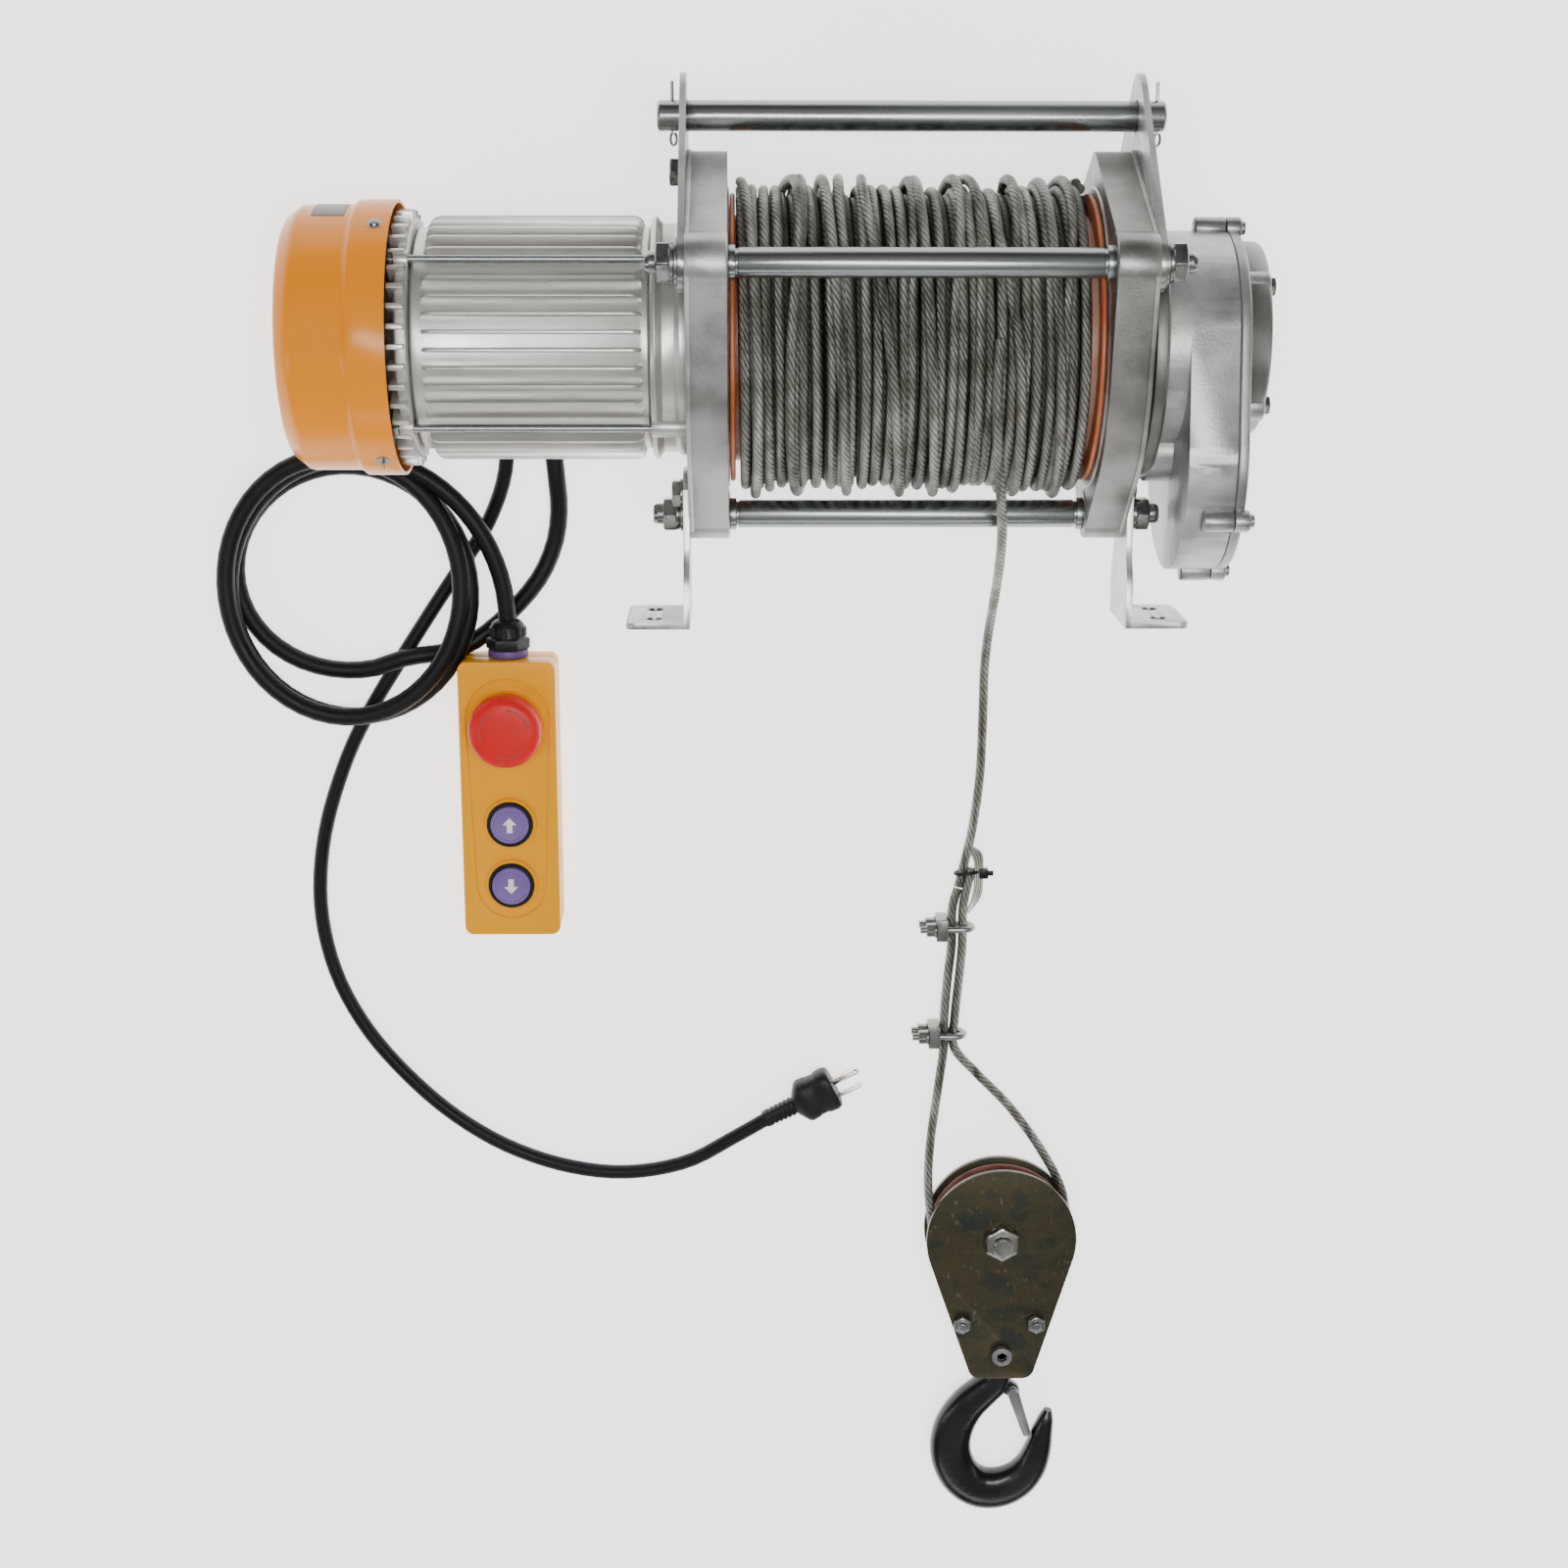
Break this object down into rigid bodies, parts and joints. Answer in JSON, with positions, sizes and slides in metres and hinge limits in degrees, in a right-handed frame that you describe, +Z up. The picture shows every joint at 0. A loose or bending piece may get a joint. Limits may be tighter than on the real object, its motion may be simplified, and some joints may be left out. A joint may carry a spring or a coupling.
{
  "type": "electric wire rope hoist",
  "caption": "Electric wire rope hoist with finned brake motor, rope drum between end plates, gearbox, suspension bar, hook block, push-button pendant and mains cord.",
  "frame": {"origin": "the middle of the terminal box's back face, on the surface the hoist lies on, level with the drum axis", "axes": "+X along the drum axis from the motor to the gearbox, +Y towards the suspension bar (up when the hoist hangs), +Z up from the surface, out of the hoist's front"},
  "size_m": [0.6875, 1.0154, 0.225],
  "materials": {
    "cast": "satin cast",
    "cast_dark": "satin",
    "cast_bright": "bright cast",
    "steel": "ground",
    "zinc": "bright zinc plate",
    "zinc_yellow": "mottled zinc chromate",
    "rope": "stranded wire, greased",
    "paint_yellow": "gloss",
    "paint_orange": "satin",
    "paint_maroon": "worn satin",
    "black_forged": "gloss",
    "plastic_yellow": "gloss",
    "plastic_red": "gloss",
    "plastic_lavender": "matte",
    "plastic_black": "matte",
    "rubber_black": "matte",
    "steel_inner": "machined"
  },
  "bodies": {
    "hoist": {"left_end_plate": "cast", "right_end_plate": "cast_dark", "tie_rod_front": "steel", "tie_rod_back": "steel", "tie_rod_bottom": "steel", "rod_nut_front_left": "zinc", "rod_nut_front_right": "zinc", "rod_nut_back_left": "zinc", "rod_nut_back_right": "zinc", "rod_nut_bottom_left": "zinc", "rod_nut_bottom_right": "zinc", "left_hanger_strap": "zinc", "right_hanger_strap": "zinc", "left_foot": "zinc", "right_foot": "zinc", "left_foot_bolt": "zinc", "right_foot_bolt": "zinc", "left_top_bolt": "zinc", "right_top_bolt": "zinc", "motor_housing": "cast_bright", "motor_front_flange": "cast_bright", "motor_rear_shield": "cast", "fan_cover": "paint_yellow", "stator_core": "steel_inner", "terminal_box": "plastic_black", "pendant_cable_gland": "plastic_black", "mains_cord_gland": "plastic_black", "gearbox_housing": "cast_bright", "gearbox_cover": "cast", "bearing_cap": "cast_dark", "rope_fall": "rope", "pendant_front": "plastic_yellow", "pendant_back": "plastic_yellow", "pendant_gland": "plastic_black", "pendant_cable": "rubber_black", "pendant_cable_coil": "rubber_black", "pendant_cable_end": "rubber_black", "mains_cord": "rubber_black", "mains_plug": "rubber_black"},
    "drum_body": {"drum": "paint_orange", "rope_winding": "rope", "drum_gear": "steel_inner"},
    "countershaft_body": {"countershaft": "steel_inner", "intermediate_gear": "steel_inner"},
    "rotor_body": {"rotor_shaft": "steel_inner", "brake_fan": "plastic_black"},
    "bar_body": {"suspension_bar": "steel"},
    "block_body": {"block_plate_front": "zinc_yellow", "block_plate_back": "zinc_yellow", "sheave_axle": "zinc", "hook_crosshead": "steel_inner", "rope_loop": "rope", "rope_clip_upper": "zinc", "rope_clip_lower": "zinc"},
    "sheave_body": {"sheave": "paint_maroon"},
    "hook_body": {"hook": "black_forged"},
    "latch_body": {"hook_latch": "zinc"},
    "stop_button_body": {"stop_button": "plastic_red"},
    "up_button_body": {"up_button": "plastic_lavender"},
    "down_button_body": {"down_button": "plastic_lavender"}
  },
  "joints": [
    {"name": "drum_spin", "type": "hinge", "parent": "hoist", "child": "drum_body", "pos_m": [0.231, 0, 0.11173], "axis": [-1, 0, 0], "range_deg": [0, 79]},
    {"name": "countershaft_spin", "type": "hinge", "parent": "hoist", "child": "countershaft_body", "pos_m": [0.231, -0.0679, 0.11173], "axis": [-1, 0, 0], "continuous": true},
    {"name": "rotor_spin", "type": "hinge", "parent": "hoist", "child": "rotor_body", "pos_m": [0.231, 0, 0.11173], "axis": [-1, 0, 0], "continuous": true},
    {"name": "bar_spin", "type": "hinge", "parent": "hoist", "child": "bar_body", "pos_m": [0.231, 0.132, 0.11173], "axis": [1, 0, 0], "continuous": true},
    {"name": "block_travel", "type": "slide", "parent": "hoist", "child": "block_body", "axis": [0, 1, 0], "range_m": [0, 0.12], "deforming": ["rope_fall"]},
    {"name": "sheave_spin", "type": "hinge", "parent": "block_body", "child": "sheave_body", "pos_m": [0.312, -0.64, 0.02], "axis": [0, 0, 1], "continuous": true},
    {"name": "hook_swivel", "type": "hinge", "parent": "block_body", "child": "hook_body", "pos_m": [0.314, -0.812, 0.02], "axis": [0, 1, 0], "continuous": true},
    {"name": "latch_hinge", "type": "hinge", "parent": "hook_body", "child": "latch_body", "pos_m": [0.324, -0.764, 0.02], "axis": [0, 0, -1], "range_deg": [0, 40], "stiffness_Nm_per_rad": 0.05, "springref_deg": -11.46},
    {"name": "stop_press", "type": "slide", "parent": "hoist", "child": "stop_button_body", "axis": [0, 0, -1], "range_m": [0, 0.005], "stiffness_N_per_m": 600, "springref_m": -0.002},
    {"name": "up_press", "type": "slide", "parent": "hoist", "child": "up_button_body", "axis": [0, 0, -1], "range_m": [0, 0.004], "stiffness_N_per_m": 500, "springref_m": -0.002},
    {"name": "down_press", "type": "slide", "parent": "hoist", "child": "down_button_body", "axis": [0, 0, -1], "range_m": [0, 0.004], "stiffness_N_per_m": 500, "springref_m": -0.002}
  ],
  "couplings": [
    {"joint": "countershaft_spin", "follows": "drum_spin", "ratio": -5},
    {"joint": "rotor_spin", "follows": "drum_spin", "ratio": 25},
    {"joint": "block_travel", "follows": "drum_spin", "m_per_rad": 0.0868}
  ]
}
